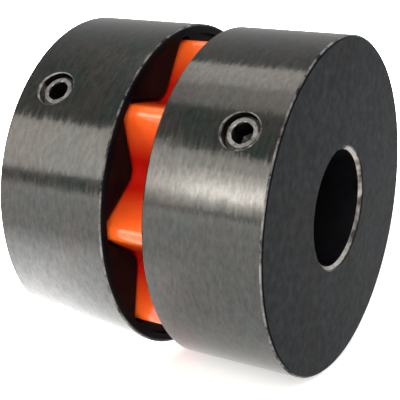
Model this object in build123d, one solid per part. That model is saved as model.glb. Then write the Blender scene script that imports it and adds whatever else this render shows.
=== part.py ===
from build123d import *
import os
from math import cos, radians, sin

# Jaw coupling for two shafts that meet end to end.
# Two plain round steel hubs face each other across a narrow gap. Each hub has a star-shaped
# socket in its inner face, whose inward walls are the jaws. One eight-lobed urethane star
# fills both sockets and carries the torque between them. A set screw in the side of each hub
# holds it to its shaft.
#
# Frame: the shafts' axis is X, the left hub is on the -X side, the origin is on the axis in
# the middle of the gap, and +Z is up. An angle around the axis starts at -Y and grows
# towards +Z. All lengths are in millimetres and all angles in degrees.

# Hubs
HUB_DIAMETER = 55.0
HUB_LENGTH = 20.0
HUB_GAP = 7.0
BORE_DIAMETER = 19.0
EDGE_CHAMFER = 0.45
BORE_CHAMFER = 0.7

# Star and its sockets. The corner radii are those of the star's outline before rounding.
LOBE_COUNT = 8
LOBE_ANGLE = 39.0
LOBE_CORNER_RADIUS = 26.4
VALLEY_CORNER_RADIUS = 17.8
LOBE_ROUNDING = 1.6
VALLEY_ROUNDING = 3.0
STAR_ENGAGEMENT = 6.4
STAR_HOLE_DIAMETER = 24.0
STAR_EDGE_ROUNDING = 0.8
SOCKET_CLEARANCE = 0.6
SOCKET_END_CLEARANCE = 0.8
RIM_WIDTH = 1.5
JAW_SETBACK = 0.8

# M6 set screws with cup points and hexagon sockets, and their tapped holes
LEFT_SCREW_ANGLE = 41.0
RIGHT_SCREW_ANGLE = 34.0
SCREW_FROM_OUTER_FACE = 6.5
SCREW_LENGTH = 16.0
SCREW_DIAMETER = 5.88
SCREW_TOP_RADIUS = 26.7
SCREW_TOP_CHAMFER = 0.35
SCREW_POINT_CHAMFER = 0.9
CUP_DIAMETER = 3.0
CUP_DEPTH = 0.8
HEX_ACROSS_FLATS = 3.0
HEX_DEPTH = 3.5
TAPPED_HOLE_DIAMETER = 6.0
HOLE_MOUTH_DIAMETER = 6.6

# Worked out from the driving dimensions
HUB_RADIUS = HUB_DIAMETER / 2
INNER_FACE_X = HUB_GAP / 2
OUTER_FACE_X = INNER_FACE_X + HUB_LENGTH
JAW_FACE_X = INNER_FACE_X + JAW_SETBACK
STAR_END_X = INNER_FACE_X + STAR_ENGAGEMENT
SOCKET_FLOOR_X = STAR_END_X + SOCKET_END_CLEARANCE
SCREW_X = OUTER_FACE_X - SCREW_FROM_OUTER_FACE
SCREW_POINT_RADIUS = SCREW_TOP_RADIUS - SCREW_LENGTH

# How far a cutting solid runs past the face that it cuts
OVERRUN = 1.0


def across_axis(x):
    """Sketch plane square to the shafts' axis at x: sketch x is -Y and sketch y is -Z."""
    return Plane(origin=(x, 0, 0), x_dir=(0, -1, 0), z_dir=(1, 0, 0))


def axial_bar(x_low, x_high, outline):
    """Solid of one outline from x_low to x_high along the shafts' axis."""
    return extrude(across_axis(x_low) * outline, x_high - x_low)


def across_screw(angle, radius):
    """Sketch plane square to the radial line of a right-hand screw, facing outwards."""
    outward = Vector(0, -cos(radians(angle)), sin(radians(angle)))
    origin = Vector(SCREW_X, 0, 0) + outward * radius
    return Plane(origin=origin, x_dir=(1, 0, 0), z_dir=outward)


def star_outline():
    """Rounded lobes and valleys in turn around the axis."""
    corners = []
    for step in range(2 * LOBE_COUNT):
        radius = LOBE_CORNER_RADIUS if step % 2 == 0 else VALLEY_CORNER_RADIUS
        angle = radians(LOBE_ANGLE + step * 180 / LOBE_COUNT)
        corners.append((radius * cos(angle), -radius * sin(angle)))
    star = make_face(Polyline(*corners, close=True))
    by_radius = star.vertices().sort_by(lambda vertex: Vector(vertex).length)
    star = fillet(by_radius[LOBE_COUNT:], LOBE_ROUNDING)
    by_radius = star.vertices().sort_by(lambda vertex: Vector(vertex).length)
    return fillet(by_radius[:LOBE_COUNT], VALLEY_ROUNDING)


def hub_on_the_right(screw_angle):
    """Hub on the +X side, with its socket open towards the gap."""
    hub = axial_bar(INNER_FACE_X, OUTER_FACE_X, Circle(HUB_RADIUS))
    hub = chamfer(hub.edges().filter_by(GeomType.CIRCLE), EDGE_CHAMFER)

    # The jaws end a little behind the rim, inside a shallow round recess.
    recess = Circle(HUB_RADIUS - RIM_WIDTH)
    hub -= axial_bar(INNER_FACE_X - OVERRUN, JAW_FACE_X, recess)
    socket = offset(star_outline(), amount=SOCKET_CLEARANCE)
    hub -= axial_bar(JAW_FACE_X - OVERRUN, SOCKET_FLOOR_X, socket)

    # Shaft bore with a chamfered mouth in the outer face.
    bore_radius = BORE_DIAMETER / 2
    hub -= axial_bar(INNER_FACE_X, OUTER_FACE_X + OVERRUN, Circle(bore_radius))
    mouth_length = BORE_CHAMFER + OVERRUN
    mouth = Cone(bore_radius, bore_radius + mouth_length, mouth_length,
                 align=(Align.CENTER, Align.CENTER, Align.MIN))
    hub -= across_axis(OUTER_FACE_X - BORE_CHAMFER) * mouth

    # Tapped hole for the set screw, with a countersunk mouth.
    hole_radius = TAPPED_HOLE_DIAMETER / 2
    hub -= extrude(across_screw(screw_angle, 0) * Circle(hole_radius), HUB_RADIUS + OVERRUN)
    countersink = HOLE_MOUTH_DIAMETER / 2 - hole_radius
    cutter_length = countersink + OVERRUN
    cutter = Cone(hole_radius, hole_radius + cutter_length, cutter_length,
                  align=(Align.CENTER, Align.CENTER, Align.MIN))
    hub -= across_screw(screw_angle, HUB_RADIUS - countersink) * cutter
    return hub


def star_insert():
    """Urethane star that spans the gap and reaches into both sockets."""
    star = axial_bar(-STAR_END_X, STAR_END_X, star_outline())
    star -= axial_bar(-STAR_END_X - OVERRUN, STAR_END_X + OVERRUN, Circle(STAR_HOLE_DIAMETER / 2))
    ends = star.edges().group_by(Axis.X)
    return fillet(ends[0] + ends[-1], STAR_EDGE_ROUNDING)


def screw_on_the_right(angle):
    """Set screw of a hub on the +X side, with its cup point just short of the bore."""
    shank = Circle(SCREW_DIAMETER / 2)
    screw = extrude(across_screw(angle, SCREW_POINT_RADIUS) * shank, SCREW_LENGTH)
    rims = screw.edges().filter_by(GeomType.CIRCLE).sort_by(Axis.Z)
    screw = chamfer(rims[-1], SCREW_TOP_CHAMFER)
    rims = screw.edges().filter_by(GeomType.CIRCLE).sort_by(Axis.Z)
    screw = chamfer(rims[0], SCREW_POINT_CHAMFER)

    # Hexagon socket in the top and a cone-shaped cup in the point.
    hexagon = RegularPolygon(HEX_ACROSS_FLATS / 2, 6, major_radius=False)
    screw -= extrude(across_screw(angle, SCREW_TOP_RADIUS - HEX_DEPTH) * hexagon, HEX_DEPTH)
    cup = Cone(CUP_DIAMETER / 2, 0, CUP_DEPTH, align=(Align.CENTER, Align.CENTER, Align.MIN))
    screw -= across_screw(angle, SCREW_POINT_RADIUS) * cup
    return screw


os.makedirs("parts", exist_ok=True)
pieces = {
    "left_hub": mirror(hub_on_the_right(LEFT_SCREW_ANGLE), Plane.YZ),
    "right_hub": hub_on_the_right(RIGHT_SCREW_ANGLE),
    "star_insert": star_insert(),
    "left_set_screw": mirror(screw_on_the_right(LEFT_SCREW_ANGLE), Plane.YZ),
    "right_set_screw": screw_on_the_right(RIGHT_SCREW_ANGLE),
}
for name, piece in pieces.items():
    export_step(piece, f"parts/{name}.step")
    print(name, round(piece.volume, 1), piece.bounding_box())
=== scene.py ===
from math import atan2, cos, pi, radians, sin, sqrt

import bpy
from mathutils import Matrix, Vector


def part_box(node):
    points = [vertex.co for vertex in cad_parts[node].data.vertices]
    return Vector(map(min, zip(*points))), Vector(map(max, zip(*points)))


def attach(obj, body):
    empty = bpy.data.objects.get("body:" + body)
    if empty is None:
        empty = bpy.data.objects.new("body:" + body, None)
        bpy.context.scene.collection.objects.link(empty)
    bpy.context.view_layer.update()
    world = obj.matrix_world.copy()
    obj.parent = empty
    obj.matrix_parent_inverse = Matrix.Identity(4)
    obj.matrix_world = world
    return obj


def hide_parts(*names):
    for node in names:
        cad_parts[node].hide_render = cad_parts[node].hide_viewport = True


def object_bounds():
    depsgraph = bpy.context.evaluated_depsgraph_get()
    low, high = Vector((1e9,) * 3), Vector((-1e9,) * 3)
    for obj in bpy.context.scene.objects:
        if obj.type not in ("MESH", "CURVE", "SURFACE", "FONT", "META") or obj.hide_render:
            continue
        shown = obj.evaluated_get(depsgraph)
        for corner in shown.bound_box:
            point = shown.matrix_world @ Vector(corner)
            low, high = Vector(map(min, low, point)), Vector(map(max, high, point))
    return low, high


# A jaw coupling: two black steel hubs, an orange urethane star between them and two set screws.
# Everything is in metres, in the frame of the CAD model: the shafts' axis is X, the origin is
# in the middle of the gap and +Z is up. An angle around the axis starts at -Y and grows
# towards +Z.

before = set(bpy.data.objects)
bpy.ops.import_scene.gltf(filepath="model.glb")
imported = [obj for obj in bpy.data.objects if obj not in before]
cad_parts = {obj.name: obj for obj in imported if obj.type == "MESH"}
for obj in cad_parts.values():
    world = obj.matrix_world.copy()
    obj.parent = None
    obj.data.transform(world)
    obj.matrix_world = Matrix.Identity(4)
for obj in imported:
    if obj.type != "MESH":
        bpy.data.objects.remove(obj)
cad_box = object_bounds()

MM = 0.001

# Places read from the CAD model
hub_low, hub_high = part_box("right_hub")
star_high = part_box("star_insert")[1]
screw_low, screw_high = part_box("right_set_screw")
HUB_RADIUS = hub_high[2]
INNER_FACE_X = hub_low[0]
OUTER_FACE_X = hub_high[0]
STAR_END_X = star_high[0]
SCREW_X = (screw_low[0] + screw_high[0]) / 2
SCREW_RADIUS = (screw_high[0] - screw_low[0]) / 2

# Sizes that the CAD hubs were built with
BORE_RADIUS = 9.5 * MM
BORE_CHAMFER = 0.7 * MM
EDGE_CHAMFER = 0.45 * MM
RIM_WIDTH = 1.5 * MM
HOLE_RADIUS = 3 * MM
HOLE_COUNTERSINK = 0.3 * MM

# Star outline: the corners of its lobes and valleys before they are rounded
LOBE_COUNT = 8
LOBE_ANGLE = radians(39)
LOBE_CORNER = 26.4 * MM
VALLEY_CORNER = 17.8 * MM
LOBE_ROUNDING = 1.6 * MM
VALLEY_ROUNDING = 3.0 * MM
STAR_HOLE_RADIUS = 12 * MM
STAR_EDGE_ROUNDING = 0.8 * MM
STAR_STRAIGHT_X = STAR_END_X - STAR_EDGE_ROUNDING

# How finely the star's mesh is divided
TIP_STEPS = 12
VALLEY_STEPS = 10
FLANK_STEPS = 6
EDGE_STEPS = 6
SIDE_STEPS = 24
FACE_STEPS = 4

# Set screws. A height is measured from the point towards the top.
SCREW_TOP = 26.7 * MM
SCREW_LENGTH = 16 * MM
THREAD_PITCH = 1.0 * MM
THREAD_DEPTH = 0.55 * MM
CREST_SHARE = 0.12
FLANK_SHARE = 0.72
TOP_CHAMFER = 0.62 * MM
POINT_CHAMFER = 0.9 * MM
CUP_RADIUS = 1.5 * MM
CUP_DEPTH = 0.8 * MM
HEX_APOTHEM = 1.5 * MM
HEX_CORNER_REACH = 1.12
HEX_DEPTH = 3.5 * MM
HEX_MOUTH_DEPTH = 0.16 * MM
HEX_LIP_DEPTH = 0.02 * MM
HEX_LIP_WIDTH = 0.12 * MM
HEX_EDGE_WIDTH = 0.25 * MM
DRILL_POINT_DEPTH = 0.6 * MM
CLOSING_RADIUS = 0.02 * MM
TURN_STEPS = 72
LENGTH_STEPS = 160
SHARP_ANGLE = radians(35)

# Camera
CAMERA_AZIMUTH = radians(29.9)
CAMERA_ELEVATION = radians(14.7)
CAMERA_ROLL = radians(1.3)
CAMERA_DISTANCE = 6.15 * HUB_RADIUS
CAMERA_AIM_RIGHT = -0.0737 * HUB_RADIUS
CAMERA_AIM_UP = -0.0749 * HUB_RADIUS
CAMERA_LENS = 88.9
CAMERA_SENSOR = 36

# Floor. It glows evenly, with an extra glow at the left that fades out between two places
# along X and between two along Y.
FLOOR_HALF_WIDTH = 3.0
FLOOR_STEPS = 12
FLOOR_GLOW = 0.5
LEFT_GLOW = 4.4
LEFT_GLOW_FULL_X = -0.03
LEFT_GLOW_END_X = 0.0
LEFT_GLOW_FULL_Y = -0.012
LEFT_GLOW_END_Y = -0.062

# Where the colours change on the hubs; the sockets and bores get painted shade
SOCKET_END_X = INNER_FACE_X + 8 * MM
SOCKET_INNER_RADIUS = BORE_RADIUS + 1.2 * MM
SOCKET_OUTER_RADIUS = HUB_RADIUS - RIM_WIDTH
END_FACE_X = OUTER_FACE_X - 0.05 * MM
RUBBED_START_RADIUS = HUB_RADIUS - 0.26 * MM
RUBBED_FULL_RADIUS = HUB_RADIUS - 0.16 * MM
CHAMFER_BARE_RADIUS = BORE_RADIUS + 0.60 * MM
CHAMFER_STAINED_RADIUS = BORE_RADIUS + 0.75 * MM
HOLE_BARE_RADIUS = BORE_RADIUS + 2 * MM

# Where the colours change on the star, whose valleys get a painted shade, and on the set screws
STAR_SHADE_FULL_RADIUS = 19.5 * MM
STAR_SHADE_END_RADIUS = 24.5 * MM
THREAD_DARK_RADIUS = SCREW_RADIUS - 0.45 * MM
THREAD_BRIGHT_RADIUS = SCREW_RADIUS - 0.05 * MM
HEX_DARK_RADIUS = HEX_APOTHEM * 1.13

# Which of a hub's three materials a face has
OILED, DRY, BARE_AND_LIT = 0, 1, 2

# How a hub's faces are told apart: by where their middles are, and by how much of their normal
# lies along an axis, from 0 to 1
SLACK = 0.01 * MM
HOLE_START_RADIUS = BORE_RADIUS + 0.5 * MM
# Across the tapped hole, its wall below this height is painted bright bare steel as a lit side
HOLE_LIT_SIDE_HEIGHT = 0.3 * HOLE_RADIUS
HOLE_WALL_MOST = 0.9
CHAMFER_LEAST = 0.5
ROUND_SIDE_MOST = 0.1


# ---------------------------------------------------------------- mesh helpers

def around_axis(x, radius, angle):
    """Point at x, at a distance from the shafts' axis and an angle around it."""
    return Vector((x, -radius * cos(angle), radius * sin(angle)))


def mesh_object(name, points, faces):
    """New smooth-shaded mesh object from points and faces, in the scene."""
    mesh = bpy.data.meshes.new(name)
    mesh.from_pydata([tuple(point) for point in points], [], faces)
    mesh.validate()
    mesh.update()
    for polygon in mesh.polygons:
        polygon.use_smooth = True
    piece = bpy.data.objects.new(name, mesh)
    bpy.context.scene.collection.objects.link(piece)
    return piece


def joined_rings(rings, closed_lengthwise=False):
    """Points and quad faces of a skin over rings that all have the same number of points."""
    count = len(rings[0])
    points = [point for ring in rings for point in ring]
    spans = len(rings) if closed_lengthwise else len(rings) - 1
    faces = []
    for span in range(spans):
        here = span * count
        there = (span + 1) % len(rings) * count
        for step in range(count):
            after = (step + 1) % count
            faces.append((here + step, here + after, there + after, there + step))
    return points, faces


# ---------------------------------------------------------------- star insert

def arc(centre, radius, start, end, steps):
    """Points of an arc in the star's own plane, from one angle to another."""
    return [
        (centre[0] + radius * cos(start + (end - start) * step / steps),
         centre[1] + radius * sin(start + (end - start) * step / steps))
        for step in range(steps + 1)
    ]


def part_way(first, last, share):
    """Flat point on the line between two flat points."""
    return (first[0] + (last[0] - first[0]) * share, first[1] + (last[1] - first[1]) * share)


def between(first, last, steps):
    """Evenly spaced points between two points, without the two."""
    return [part_way(first, last, step / steps) for step in range(1, steps)]


def distance(point):
    """Distance of a flat point from the star's centre."""
    along, across = point
    return sqrt(along * along + across * across)


def turned(point, angle):
    """A flat point turned around the star's centre."""
    along, across = point
    return (along * cos(angle) - across * sin(angle), along * sin(angle) + across * cos(angle))


def star_ring(inset):
    """The star's outline moved inwards by inset, as (along lobe 0, across it) pairs."""
    half_pitch = pi / LOBE_COUNT
    rise = LOBE_CORNER - VALLEY_CORNER * cos(half_pitch)
    run = VALLEY_CORNER * sin(half_pitch)
    lobe_half_angle = atan2(run, rise)
    valley_half_angle = lobe_half_angle + half_pitch
    lobe_swing = pi / 2 - lobe_half_angle
    valley_swing = pi / 2 - valley_half_angle
    lobe_centre = LOBE_CORNER - LOBE_ROUNDING / sin(lobe_half_angle)
    valley_distance = VALLEY_CORNER + VALLEY_ROUNDING / sin(valley_half_angle)
    valley_centre = (valley_distance * cos(half_pitch), valley_distance * sin(half_pitch))
    inwards = half_pitch + pi

    # One lobe and the valley after it, repeated around the axis.
    tip = arc((lobe_centre, 0), LOBE_ROUNDING - inset, -lobe_swing, lobe_swing, TIP_STEPS)
    valley = arc(valley_centre, VALLEY_ROUNDING + inset, inwards + valley_swing,
                 inwards - valley_swing, VALLEY_STEPS)
    next_tip = turned(tip[0], 2 * half_pitch)
    outline = tip + between(tip[-1], valley[0], FLANK_STEPS) + valley
    outline += between(valley[-1], next_tip, FLANK_STEPS)
    return [turned(point, 2 * pi * lobe / LOBE_COUNT)
            for lobe in range(LOBE_COUNT) for point in outline]


def hole_ring(radius):
    """Points of the centre hole, one beside each point of the star's outline."""
    return [(radius * point[0] / distance(point), radius * point[1] / distance(point))
            for point in star_ring(STAR_EDGE_ROUNDING)]


def placed(ring, x):
    """A flat ring of pairs set square to the axis at x, with lobe 0 at its angle."""
    return [around_axis(x, distance(point), LOBE_ANGLE + atan2(point[1], point[0]))
            for point in ring]


def edge_ring(end, swing, of_hole):
    """Ring on a rounded edge. Swing is 0 at the star's side and a right angle at its end."""
    inset = STAR_EDGE_ROUNDING * (1 - cos(swing))
    ring = hole_ring(STAR_HOLE_RADIUS + inset) if of_hole else star_ring(inset)
    return placed(ring, end * (STAR_STRAIGHT_X + STAR_EDGE_ROUNDING * sin(swing)))


def face_ring(end, share):
    """Ring on the flat end of the star, part of the way from its rim to its hole."""
    rim = star_ring(STAR_EDGE_ROUNDING)
    hole_edge = hole_ring(STAR_HOLE_RADIUS + STAR_EDGE_ROUNDING)
    ring = [part_way(outer, inner, share) for outer, inner in zip(rim, hole_edge)]
    return placed(ring, end * STAR_END_X)


def star_insert():
    """Urethane star with rounded ends, made as one closed skin from rim to hole and back."""
    left, right = -1, 1
    towards_side = [pi / 2 * (1 - step / EDGE_STEPS) for step in range(EDGE_STEPS + 1)]
    towards_end = [pi / 2 * step / EDGE_STEPS for step in range(EDGE_STEPS + 1)]
    side_places = [-STAR_STRAIGHT_X + 2 * STAR_STRAIGHT_X * step / SIDE_STEPS
                   for step in range(1, SIDE_STEPS)]
    hole_places = [STAR_STRAIGHT_X - 2 * STAR_STRAIGHT_X * step / SIDE_STEPS
                   for step in range(1, SIDE_STEPS)]

    rings = [edge_ring(left, swing, of_hole=False) for swing in towards_side]
    rings += [placed(star_ring(0), x) for x in side_places]
    rings += [edge_ring(right, swing, of_hole=False) for swing in towards_end]
    rings += [face_ring(right, step / FACE_STEPS) for step in range(1, FACE_STEPS)]
    rings += [edge_ring(right, swing, of_hole=True) for swing in towards_side]
    rings += [placed(hole_ring(STAR_HOLE_RADIUS), x) for x in hole_places]
    rings += [edge_ring(left, swing, of_hole=True) for swing in towards_end]
    rings += [face_ring(left, 1 - step / FACE_STEPS) for step in range(1, FACE_STEPS)]
    points, faces = joined_rings(rings, closed_lengthwise=True)
    piece = mesh_object("urethane_star", points, faces)

    # Keeps the broad faces flat-looking beside their small rounded edges.
    modifier = piece.modifiers.new("weighted_normals", "WEIGHTED_NORMAL")
    modifier.keep_sharp = True
    return piece


# ---------------------------------------------------------------- set screws

def thread_radius(height, angle):
    """Outside of the screw: a V thread with narrow flats, between its two chamfers."""
    phase = (height / THREAD_PITCH - angle / (2 * pi)) % 1.0
    slope = abs(2 * phase - 1)
    depth = min(max((slope - CREST_SHARE) / FLANK_SHARE, 0), 1) * THREAD_DEPTH
    from_point = SCREW_RADIUS - POINT_CHAMFER + height
    from_top = SCREW_RADIUS - TOP_CHAMFER + (SCREW_LENGTH - height)
    return min(SCREW_RADIUS - depth, from_point, from_top)


def hex_radius(angle):
    """Distance from the axis to a hexagon's flats, with its corners a little rounded."""
    from_flat = (angle + pi / 6) % (pi / 3) - pi / 6
    return min(HEX_APOTHEM / cos(from_flat), HEX_APOTHEM * HEX_CORNER_REACH)


def round_at(radius):
    """Radius of a round ring, which is the same at every angle."""
    return lambda angle: radius


def thread_at(height):
    """Radius of the thread at one height, as it changes with the angle."""
    return lambda angle: thread_radius(height, angle)


def screw_profile():
    """Heights and radii of a screw's rings, from inside its cup to inside its hexagon."""
    profile = [
        (CUP_DEPTH, round_at(CLOSING_RADIUS)),
        (0.0, round_at(CUP_RADIUS)),
        (0.0, round_at(SCREW_RADIUS - POINT_CHAMFER)),
    ]
    for step in range(LENGTH_STEPS + 1):
        height = SCREW_LENGTH * step / LENGTH_STEPS
        profile.append((height, thread_at(height)))
    profile += [
        (SCREW_LENGTH, round_at(HEX_APOTHEM * HEX_CORNER_REACH + HEX_EDGE_WIDTH)),
        (SCREW_LENGTH - HEX_LIP_DEPTH, lambda angle: hex_radius(angle) + HEX_LIP_WIDTH),
        (SCREW_LENGTH - HEX_MOUTH_DEPTH, hex_radius),
        (SCREW_LENGTH - HEX_DEPTH, hex_radius),
        (SCREW_LENGTH - HEX_DEPTH - DRILL_POINT_DEPTH, round_at(CLOSING_RADIUS)),
    ]
    return profile


def set_screw(name, x, angle_of_screw):
    """Set screw with a helical thread, a hexagon socket in its top and a cup in its point."""
    outward = around_axis(0, 1, angle_of_screw)
    side = Vector((1, 0, 0))
    across = outward.cross(side)
    base = Vector((x, 0, 0)) + outward * (SCREW_TOP - SCREW_LENGTH)
    angles = [2 * pi * step / TURN_STEPS for step in range(TURN_STEPS)]
    rings = []
    for height, radius in screw_profile():
        rings.append([base + outward * height
                      + (side * cos(angle) + across * sin(angle)) * radius(angle)
                      for angle in angles])
    points, faces = joined_rings(rings)
    faces.append(tuple(reversed(range(TURN_STEPS))))
    faces.append(tuple(range(len(points) - TURN_STEPS, len(points))))
    piece = mesh_object(name, points, faces)
    piece.data.set_sharp_from_angle(angle=SHARP_ANGLE)
    return piece


# ---------------------------------------------------------------- materials

class Graph:
    """A material under construction, with short ways to add its nodes."""

    def __init__(self, name):
        self.material = bpy.data.materials.new(name)
        self.material.use_nodes = True
        self.tree = self.material.node_tree
        self.shader = self.tree.nodes["Principled BSDF"]
        coordinates = self.tree.nodes.new("ShaderNodeTexCoord")
        self.place = coordinates.outputs["Object"]
        self.x, self.y, self.z = self.split(self.place)

    def feed(self, socket, value):
        """Links a node's output to a socket, or sets a plain value on it."""
        if isinstance(value, bpy.types.NodeSocket):
            self.tree.links.new(value, socket)
        else:
            socket.default_value = value

    def shade(self, values):
        """Feeds the shader's sockets, given by their names."""
        for name, value in values.items():
            self.feed(self.shader.inputs[name], value)

    def math(self, operation, first, second=0.0, clamp=False):
        """One step of arithmetic."""
        node = self.tree.nodes.new("ShaderNodeMath")
        node.operation = operation
        node.use_clamp = clamp
        self.feed(node.inputs[0], first)
        self.feed(node.inputs[1], second)
        return node.outputs[0]

    def plus(self, first, second):
        """Sum of two values."""
        return self.math("ADD", first, second)

    def times(self, first, second):
        """Product of two values."""
        return self.math("MULTIPLY", first, second)

    def length(self, first, second):
        """Length of the long side over two sides at a right angle."""
        return self.math("SQRT", self.plus(self.times(first, first), self.times(second, second)))

    def radius(self):
        """Distance of the surface from the shafts' axis."""
        return self.length(self.y, self.z)

    def split(self, vector):
        """The three parts of a vector."""
        node = self.tree.nodes.new("ShaderNodeSeparateXYZ")
        self.feed(node.inputs[0], vector)
        return node.outputs[0], node.outputs[1], node.outputs[2]

    def join(self, x, y, z):
        """A vector from its three parts."""
        node = self.tree.nodes.new("ShaderNodeCombineXYZ")
        for socket, value in zip(node.inputs, (x, y, z)):
            self.feed(socket, value)
        return node.outputs[0]

    def vector(self, operation, *values):
        """One step of vector arithmetic."""
        node = self.tree.nodes.new("ShaderNodeVectorMath")
        node.operation = operation
        for socket, value in zip(node.inputs, values):
            self.feed(socket, value)
        return node.outputs[0]

    def noise(self, vector, scale, detail, roughness):
        """Cloudy pattern from 0 to 1. The scale is about how many clouds fit in a metre."""
        node = self.tree.nodes.new("ShaderNodeTexNoise")
        self.feed(node.inputs["Vector"], vector)
        node.inputs["Scale"].default_value = scale
        node.inputs["Detail"].default_value = detail
        node.inputs["Roughness"].default_value = roughness
        return node.outputs["Fac"]

    def ramp(self, value, low, high, start=0.0, end=1.0):
        """Straight change from start to end as value goes from low to high."""
        node = self.tree.nodes.new("ShaderNodeMapRange")
        node.clamp = True
        for socket, number in zip(node.inputs, (value, low, high, start, end)):
            self.feed(socket, number)
        return node.outputs[0]

    def mix(self, share, first, second):
        """Colour between two colours."""
        node = self.tree.nodes.new("ShaderNodeMix")
        node.data_type = "RGBA"
        for name, value in (("Factor", share), ("A", first), ("B", second)):
            self.feed(node.inputs[name], value)
        return node.outputs["Result"]

    def bump(self, height, distance, strength, normal=None):
        """Surface normal over small hills and dents, on top of another normal if there is one."""
        node = self.tree.nodes.new("ShaderNodeBump")
        node.inputs["Strength"].default_value = strength
        node.inputs["Distance"].default_value = distance
        self.feed(node.inputs["Height"], height)
        if normal is not None:
            self.feed(node.inputs["Normal"], normal)
        return node.outputs[0]


def rgba(red, green, blue):
    """An opaque colour."""
    return (red, green, blue, 1.0)


def oiled_steel():
    """Outside of a hub: turned steel under a thin film of oil on black oxide."""
    graph = Graph("oiled_black_oxide")
    blotch = graph.noise(graph.place, 130, 4, 0.65)
    grain = graph.noise(graph.place, 1500, 2, 0.6)
    along_marks = graph.join(graph.times(graph.x, 7), graph.y, graph.z)
    streak = graph.noise(along_marks, 260, 3, 0.7)
    tint = graph.mix(graph.ramp(blotch, 0.35, 0.65), rgba(0.003, 0.015, 0.012),
                     rgba(0.022, 0.014, 0.010))
    streaks = graph.mix(graph.ramp(streak, 0.3, 0.7), rgba(0.002, 0.003, 0.003),
                        rgba(0.026, 0.025, 0.021))
    film = graph.plus(graph.times(blotch, 0.5), graph.times(streak, 0.5))

    # The oil lies unevenly, so the shine is mottled.
    short_marks = graph.join(graph.times(graph.x, 2.2), graph.y, graph.z)
    mottle = graph.noise(short_marks, 700, 3, 0.7)

    # Turning left fine marks that tilt the surface a little, forwards or back around the axis.
    most_tilt = 0.085
    tilt = graph.times(graph.math("SUBTRACT", streak, 0.5), most_tilt)
    tilt = graph.math("DIVIDE", tilt, graph.radius())
    around = graph.join(0.0, graph.times(graph.times(graph.z, -1), tilt),
                        graph.times(graph.y, tilt))
    tilted = graph.vector("ADD", graph.bump(grain, 0.006 * MM, 0.6), around)
    graph.shade({
        "Base Color": graph.mix(0.5, tint, streaks),
        "Metallic": graph.ramp(mottle, 0.36, 0.66, 0.0, 0.30),
        "Roughness": graph.ramp(film, 0.35, 0.65, 0.10, 0.19),
        "IOR": 1.72,
        "Normal": graph.vector("NORMALIZE", tilted),
    })
    return graph.material


def dry_steel_and_painted_shade():
    """End faces, sockets and bores: faced steel with a dry, duller black oxide, and painted shade
    in the sockets and bores.
    """
    graph = Graph("dry_black_oxide_and_painted_shade")
    radius = graph.radius()
    along = graph.math("ABSOLUTE", graph.x)
    blotch = graph.noise(graph.place, 110, 4, 0.65)
    blotches = graph.ramp(blotch, 0.35, 0.65)
    grain = graph.noise(graph.place, 1500, 3, 0.7)
    facing = graph.noise(graph.join(graph.times(radius, 60), graph.x, 0.0), 60, 2, 0.6)

    # Painted shade: the sockets beside the star are dark with a painted reddish reflection of the
    # star, and the bores are painted nearly black.
    in_shaded_socket = graph.times(graph.math("LESS_THAN", along, SOCKET_END_X),
                            graph.math("LESS_THAN", radius, SOCKET_OUTER_RADIUS))
    in_shaded_socket = graph.times(in_shaded_socket,
                            graph.math("GREATER_THAN", radius, SOCKET_INNER_RADIUS))
    socket = graph.mix(blotches, rgba(0.007, 0.003, 0.003), rgba(0.019, 0.008, 0.007))
    bore = graph.mix(blotches, rgba(0.002, 0.002, 0.003), rgba(0.006, 0.006, 0.007))
    inside = graph.mix(in_shaded_socket, bore, socket)

    # The outer end faces are greyer, with patches of dust, and get none of the painted shade of
    # the inside.
    at_face = graph.math("GREATER_THAN", along, END_FACE_X)
    dust = graph.noise(graph.place, 650, 3, 0.7)
    face = graph.mix(blotches, rgba(0.004, 0.007, 0.009), rgba(0.012, 0.012, 0.012))
    face = graph.mix(graph.ramp(dust, 0.40, 0.72, 0.0, 0.55), face, rgba(0.032, 0.034, 0.038))
    tint = graph.mix(at_face, inside, face)

    # The hubs' corners rub bright first: a thin broken line along their edges.
    at_edge = graph.ramp(radius, RUBBED_START_RADIUS, RUBBED_FULL_RADIUS)
    rubbed = graph.ramp(graph.noise(graph.place, 240, 4, 0.75), 0.40, 0.62, 0.05, 0.8)
    wear = graph.times(at_edge, rubbed)
    marks = graph.bump(facing, 0.006 * MM, 0.5)
    graph.shade({
        "Base Color": graph.mix(wear, tint, rgba(0.34, 0.32, 0.30)),
        "Metallic": wear,
        "Roughness": graph.ramp(blotch, 0.3, 0.7, 0.34, 0.46),
        "IOR": 1.08,
        "Normal": graph.bump(grain, 0.012 * MM, 0.7, marks),
    })
    return graph.material


def bare_steel_and_lit_hole():
    """Cut steel on the bore's chamfer, stained in patches, and the same bright steel painted on
    the lit lower side of the tapped hole.
    """
    graph = Graph("bare_cut_steel_and_lit_hole")
    radius = graph.radius()
    scratch = graph.noise(graph.place, 700, 4, 0.65)
    steel = graph.mix(scratch, rgba(0.13, 0.12, 0.11), rgba(0.60, 0.56, 0.53))

    # Black oxide is left in patches, and in a ragged line along the outside of the bore's
    # chamfer.
    unstained = graph.ramp(graph.noise(graph.place, 130, 3, 0.7), 0.42, 0.52, 0.12, 1.0)
    ragged = graph.plus(radius, graph.times(scratch, 0.4 * MM))
    inner = graph.ramp(ragged, CHAMFER_BARE_RADIUS, CHAMFER_STAINED_RADIUS, 1.0, 0.0)
    # In the tapped hole, whose lower side this bright steel paints as a lit side, it is bare but
    # for the stained patches.
    at_screw = graph.math("GREATER_THAN", radius, HOLE_BARE_RADIUS)
    bare = graph.times(unstained, graph.math("MAXIMUM", inner, at_screw))
    graph.shade({
        "Base Color": graph.mix(bare, rgba(0.015, 0.014, 0.013), steel),
        "Metallic": 1.0,
        "Roughness": graph.ramp(scratch, 0.3, 0.7, 0.22, 0.4),
        "Normal": graph.bump(scratch, 0.012 * MM, 0.6),
    })
    return graph.material


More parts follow.
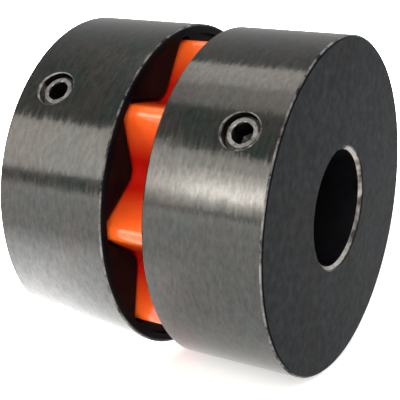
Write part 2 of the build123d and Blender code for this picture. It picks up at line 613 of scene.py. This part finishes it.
def urethane():
    """Cast orange urethane: glossy, a little cloudy, with light scattering inside it, and a
    painted shade of deep red in its valleys.
    """
    graph = Graph("orange_urethane_with_painted_shade")
    cloud = graph.noise(graph.place, 160, 3, 0.5)
    clouds = graph.ramp(cloud, 0.3, 0.7)
    speck = graph.noise(graph.place, 3500, 2, 0.5)

    # Painted shade: deep red between the lobes, where shade falls, and orange on the lobes.
    height = graph.ramp(graph.radius(), STAR_SHADE_FULL_RADIUS, STAR_SHADE_END_RADIUS)
    valley = graph.mix(clouds, rgba(0.50, 0.006, 0.002), rgba(0.58, 0.012, 0.004))
    lobe = graph.mix(clouds, rgba(0.93, 0.115, 0.014), rgba(0.96, 0.155, 0.022))
    graph.shade({
        "Base Color": graph.mix(height, valley, lobe),
        "Roughness": graph.ramp(cloud, 0.3, 0.7, 0.16, 0.23),
        "Subsurface Weight": 0.35,
        "Subsurface Radius": (1.0, 0.25, 0.06),
        "Subsurface Scale": 1.5 * MM,
        "IOR": 1.7,
        "Normal": graph.bump(speck, 0.004 * MM, 0.4),
    })
    return graph.material


def screw_steel(angle_of_screw):
    """Alloy screw steel: dark oxide in the thread roots, worn bright on crests and top."""
    graph = Graph("screw_steel")
    across_x = graph.math("SUBTRACT", graph.math("ABSOLUTE", graph.x), SCREW_X)
    across_side = graph.plus(graph.times(graph.y, sin(angle_of_screw)),
                             graph.times(graph.z, cos(angle_of_screw)))
    from_axis = graph.length(across_x, across_side)
    scratch = graph.noise(graph.place, 900, 4, 0.65)
    crest = graph.ramp(from_axis, THREAD_DARK_RADIUS, THREAD_BRIGHT_RADIUS)
    inside_hex = graph.math("LESS_THAN", from_axis, HEX_DARK_RADIUS)
    worn = graph.math("SUBTRACT", graph.plus(0.60, graph.times(crest, 0.35)), inside_hex,
                      clamp=True)
    worn = graph.times(worn, graph.ramp(scratch, 0.3, 0.6, 0.6, 1.0))
    graph.shade({
        "Base Color": graph.mix(worn, rgba(0.02, 0.02, 0.02), rgba(0.72, 0.70, 0.67)),
        "Metallic": 0.9,
        "Roughness": graph.ramp(scratch, 0.3, 0.7, 0.22, 0.38),
        "Normal": graph.bump(scratch, 0.01 * MM, 0.5),
    })
    return graph.material


def floor_paint():
    """Plain pale floor with hardly visible unevenness."""
    graph = Graph("pale_floor")
    cloud = graph.noise(graph.place, 3, 2, 0.5)

    # Lit from below like a light table, so that the part hardly shades it. It is brighter at
    # the left, close to the part, which shows in the underside of the left hub.
    brighter = graph.times(graph.ramp(graph.x, LEFT_GLOW_FULL_X, LEFT_GLOW_END_X, LEFT_GLOW, 0.0),
                           graph.ramp(graph.y, LEFT_GLOW_END_Y, LEFT_GLOW_FULL_Y))
    graph.shade({
        "Base Color": graph.mix(cloud, rgba(0.86, 0.86, 0.86), rgba(0.90, 0.90, 0.90)),
        "Roughness": 0.9,
        "Specular IOR Level": 0.1,
        "Emission Color": rgba(1, 1, 1),
        "Emission Strength": graph.plus(brighter, FLOOR_GLOW),
    })
    return graph.material


# ---------------------------------------------------------------- camera, light and floor

def facing_matrix(place, right, up, back):
    """Where a camera or light is, with its own right, up and backward directions."""
    turn = Matrix((right, up, back)).transposed().to_4x4()
    return Matrix.Translation(place) @ turn


def add_camera():
    """Camera at the photograph's viewing angle, aimed a little beside the part's middle."""
    back = Vector((sin(CAMERA_AZIMUTH) * cos(CAMERA_ELEVATION),
                   -cos(CAMERA_AZIMUTH) * cos(CAMERA_ELEVATION), sin(CAMERA_ELEVATION)))
    level = back.cross(Vector((0, 0, 1))).normalized() * -1
    upright = back.cross(level)
    right = level * cos(CAMERA_ROLL) + upright * sin(CAMERA_ROLL)
    up = upright * cos(CAMERA_ROLL) - level * sin(CAMERA_ROLL)
    place = back * CAMERA_DISTANCE + right * CAMERA_AIM_RIGHT + up * CAMERA_AIM_UP
    camera = bpy.data.objects.new("camera", bpy.data.cameras.new("camera"))
    camera.data.sensor_width = CAMERA_SENSOR
    camera.data.lens = CAMERA_LENS
    camera.data.clip_start = 1 * MM
    camera.matrix_world = facing_matrix(place, right, up, back)
    bpy.context.scene.collection.objects.link(camera)
    bpy.context.scene.camera = camera


# The softboxes: name, the two angles around the axis between which it is seen, its angle to
# the right (all in degrees), its distance, its width and how bright it looks
WARM_WHITE = (1.0, 0.93, 0.85)
SOFTBOXES = (
    ("left_front_softbox", 8, 46, -38, 0.70, 0.17, 3.3),
    ("right_front_softbox", 1, 38, -25, 0.70, 0.17, 3.0),
    ("right_hot_spot_edge", 6, 27, -24, 0.66, 0.12, 2.4),
    ("right_hot_spot", 9, 21, -24, 0.62, 0.09, 3.2),
    ("right_hot_spot_middle", 10, 17, -24, 0.58, 0.07, 3.2),
    ("key_softbox", 18, 46, 14, 0.90, 0.35, 8.5),
    ("top_softbox", 88, 106, -20, 0.70, 0.27, 2.4),
    ("top_softbox_edge", 70, 88, -20, 0.70, 0.27, 1.3),
)


def softbox(name, low, high, sideways, distance, width, radiance):
    """Rectangular light seen around the axis from angle low to angle high, aimed at the part."""
    middle = radians((low + high) / 2)
    reach = cos(sideways)
    direction = Vector((sin(sideways), -reach * cos(middle), reach * sin(middle)))
    side = Vector((0, sin(middle), cos(middle))).cross(direction).normalized()
    data = bpy.data.lights.new(name, "AREA")
    data.shape = "RECTANGLE"
    data.size = width
    data.size_y = 2 * distance * reach * sin(radians(high - low) / 2)
    data.energy = radiance * pi * data.size * data.size_y
    data.color = WARM_WHITE
    light = bpy.data.objects.new(name, data)
    light.matrix_world = facing_matrix(direction * distance, side, direction.cross(side),
                                       direction)
    bpy.context.scene.collection.objects.link(light)


# Strength of the white surroundings: a sum of ramps, each along one axis of the direction that
# is looked in, from the strength at its low end to the strength at its high end. They make a
# bright wall to the right and one far to the left, a dim part between them, and a little light
# from behind.
WORLD_RAMPS = (
    ("X", -0.30, 0.10, 0.28, 1.0),
    ("X", -0.78, -0.70, 0.9, 0.0),
    ("Y", 0.0, 0.75, 0.0, 0.2),
)


def world_strength(tree):
    """Adds up the ramps in a world's node tree."""
    place = tree.nodes.new("ShaderNodeTexCoord")
    split = tree.nodes.new("ShaderNodeSeparateXYZ")
    tree.links.new(place.outputs["Generated"], split.inputs[0])
    strength = None
    for axis, *numbers in WORLD_RAMPS:
        ramp = tree.nodes.new("ShaderNodeMapRange")
        tree.links.new(split.outputs[axis], ramp.inputs["Value"])
        for socket, number in zip(list(ramp.inputs)[1:5], numbers):
            socket.default_value = number
        if strength is None:
            strength = ramp.outputs[0]
        else:
            total = tree.nodes.new("ShaderNodeMath")
            tree.links.new(strength, total.inputs[0])
            tree.links.new(ramp.outputs[0], total.inputs[1])
            strength = total.outputs[0]
    return strength


def add_light():
    """White surroundings and softboxes, whose reflections are the light bands on the hubs."""
    world = bpy.data.worlds.new("studio")
    world.use_nodes = True
    tree = world.node_tree
    background = tree.nodes["Background"]
    background.inputs["Color"].default_value = rgba(1, 1, 1)
    tree.links.new(world_strength(tree), background.inputs["Strength"])
    bpy.context.scene.world = world
    for name, low, high, sideways, distance, width, radiance in SOFTBOXES:
        softbox(name, low, high, radians(sideways), distance, width, radiance)


def add_floor():
    """Flat pale floor that the part stands on."""
    side = FLOOR_STEPS + 1
    places = [-FLOOR_HALF_WIDTH + 2 * FLOOR_HALF_WIDTH * step / FLOOR_STEPS
              for step in range(side)]
    points = [(x, y, cad_box[0][2]) for y in places for x in places]
    faces = [(row * side + column, row * side + column + 1,
              (row + 1) * side + column + 1, (row + 1) * side + column)
             for row in range(FLOOR_STEPS) for column in range(FLOOR_STEPS)]
    floor = mesh_object("floor", points, faces)
    floor.data.materials.append(floor_paint())


# ---------------------------------------------------------------- hubs

def screw_angle(side):
    """Angle around the axis at which a hub's set screw sits."""
    low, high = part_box(side + "_set_screw")
    return atan2((low[2] + high[2]) / 2, -(low[1] + high[1]) / 2)


def finish_at(centre, normal, outward):
    """Which finish a face of a hub has, from where it is and which way it faces."""
    radius = sqrt(centre.y ** 2 + centre.z ** 2)
    along = abs(centre.x)

    # Only the lower side of the tapped hole gets bright bare steel, as in the photograph: a
    # painted lit side, while the upper side keeps the dark oxide.
    offset = Vector((along - SCREW_X, centre.y, centre.z))
    depth = offset.dot(outward)
    from_screw = (offset - outward * depth).length
    in_hole = from_screw < HOLE_RADIUS + HOLE_COUNTERSINK + SLACK and depth > 0
    beside_hole = abs(normal.dot(outward)) < HOLE_WALL_MOST
    if in_hole and beside_hole and radius > HOLE_START_RADIUS:
        upwards = Vector((0, outward.z, -outward.y))
        return BARE_AND_LIT if offset.dot(upwards) < HOLE_LIT_SIDE_HEIGHT else DRY

    in_chamfer = (along > OUTER_FACE_X - BORE_CHAMFER - 2 * SLACK
                  and radius < BORE_RADIUS + BORE_CHAMFER + 2 * SLACK)
    if in_chamfer and abs(normal.x) > CHAMFER_LEAST:
        return BARE_AND_LIT
    if radius > HUB_RADIUS - EDGE_CHAMFER - SLACK and abs(normal.x) < ROUND_SIDE_MOST:
        return OILED
    return DRY


def steel_hub(side, finishes):
    """Hub with its faces sorted into oiled, dry and bare steel; the bare steel also paints the
    lit lower side of the tapped hole.
    """
    node = side + "_hub"
    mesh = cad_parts[node].data.copy()
    hub = bpy.data.objects.new(side + "_steel_hub", mesh)
    bpy.context.scene.collection.objects.link(hub)
    mesh.materials.clear()
    for material in finishes:
        mesh.materials.append(material)
    outward = around_axis(0, 1, screw_angle(side))
    for polygon in mesh.polygons:
        polygon.material_index = finish_at(polygon.center, polygon.normal, outward)
    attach(hub, node)
    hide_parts(node)


# ---------------------------------------------------------------- putting it together

add_camera()
add_light()
add_floor()

finishes = [oiled_steel(), dry_steel_and_painted_shade(), bare_steel_and_lit_hole()]
steel_hub("left", finishes)
steel_hub("right", finishes)

star = star_insert()
star.data.materials.append(urethane())
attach(star, "star_insert")
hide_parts("star_insert")

for side, x in (("left", -SCREW_X), ("right", SCREW_X)):
    angle = screw_angle(side)
    screw = set_screw(side + "_threaded_screw", x, angle)
    screw.data.materials.append(screw_steel(angle))
    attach(screw, side + "_set_screw")
    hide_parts(side + "_set_screw")

bpy.context.scene.view_settings.view_transform = "Standard"
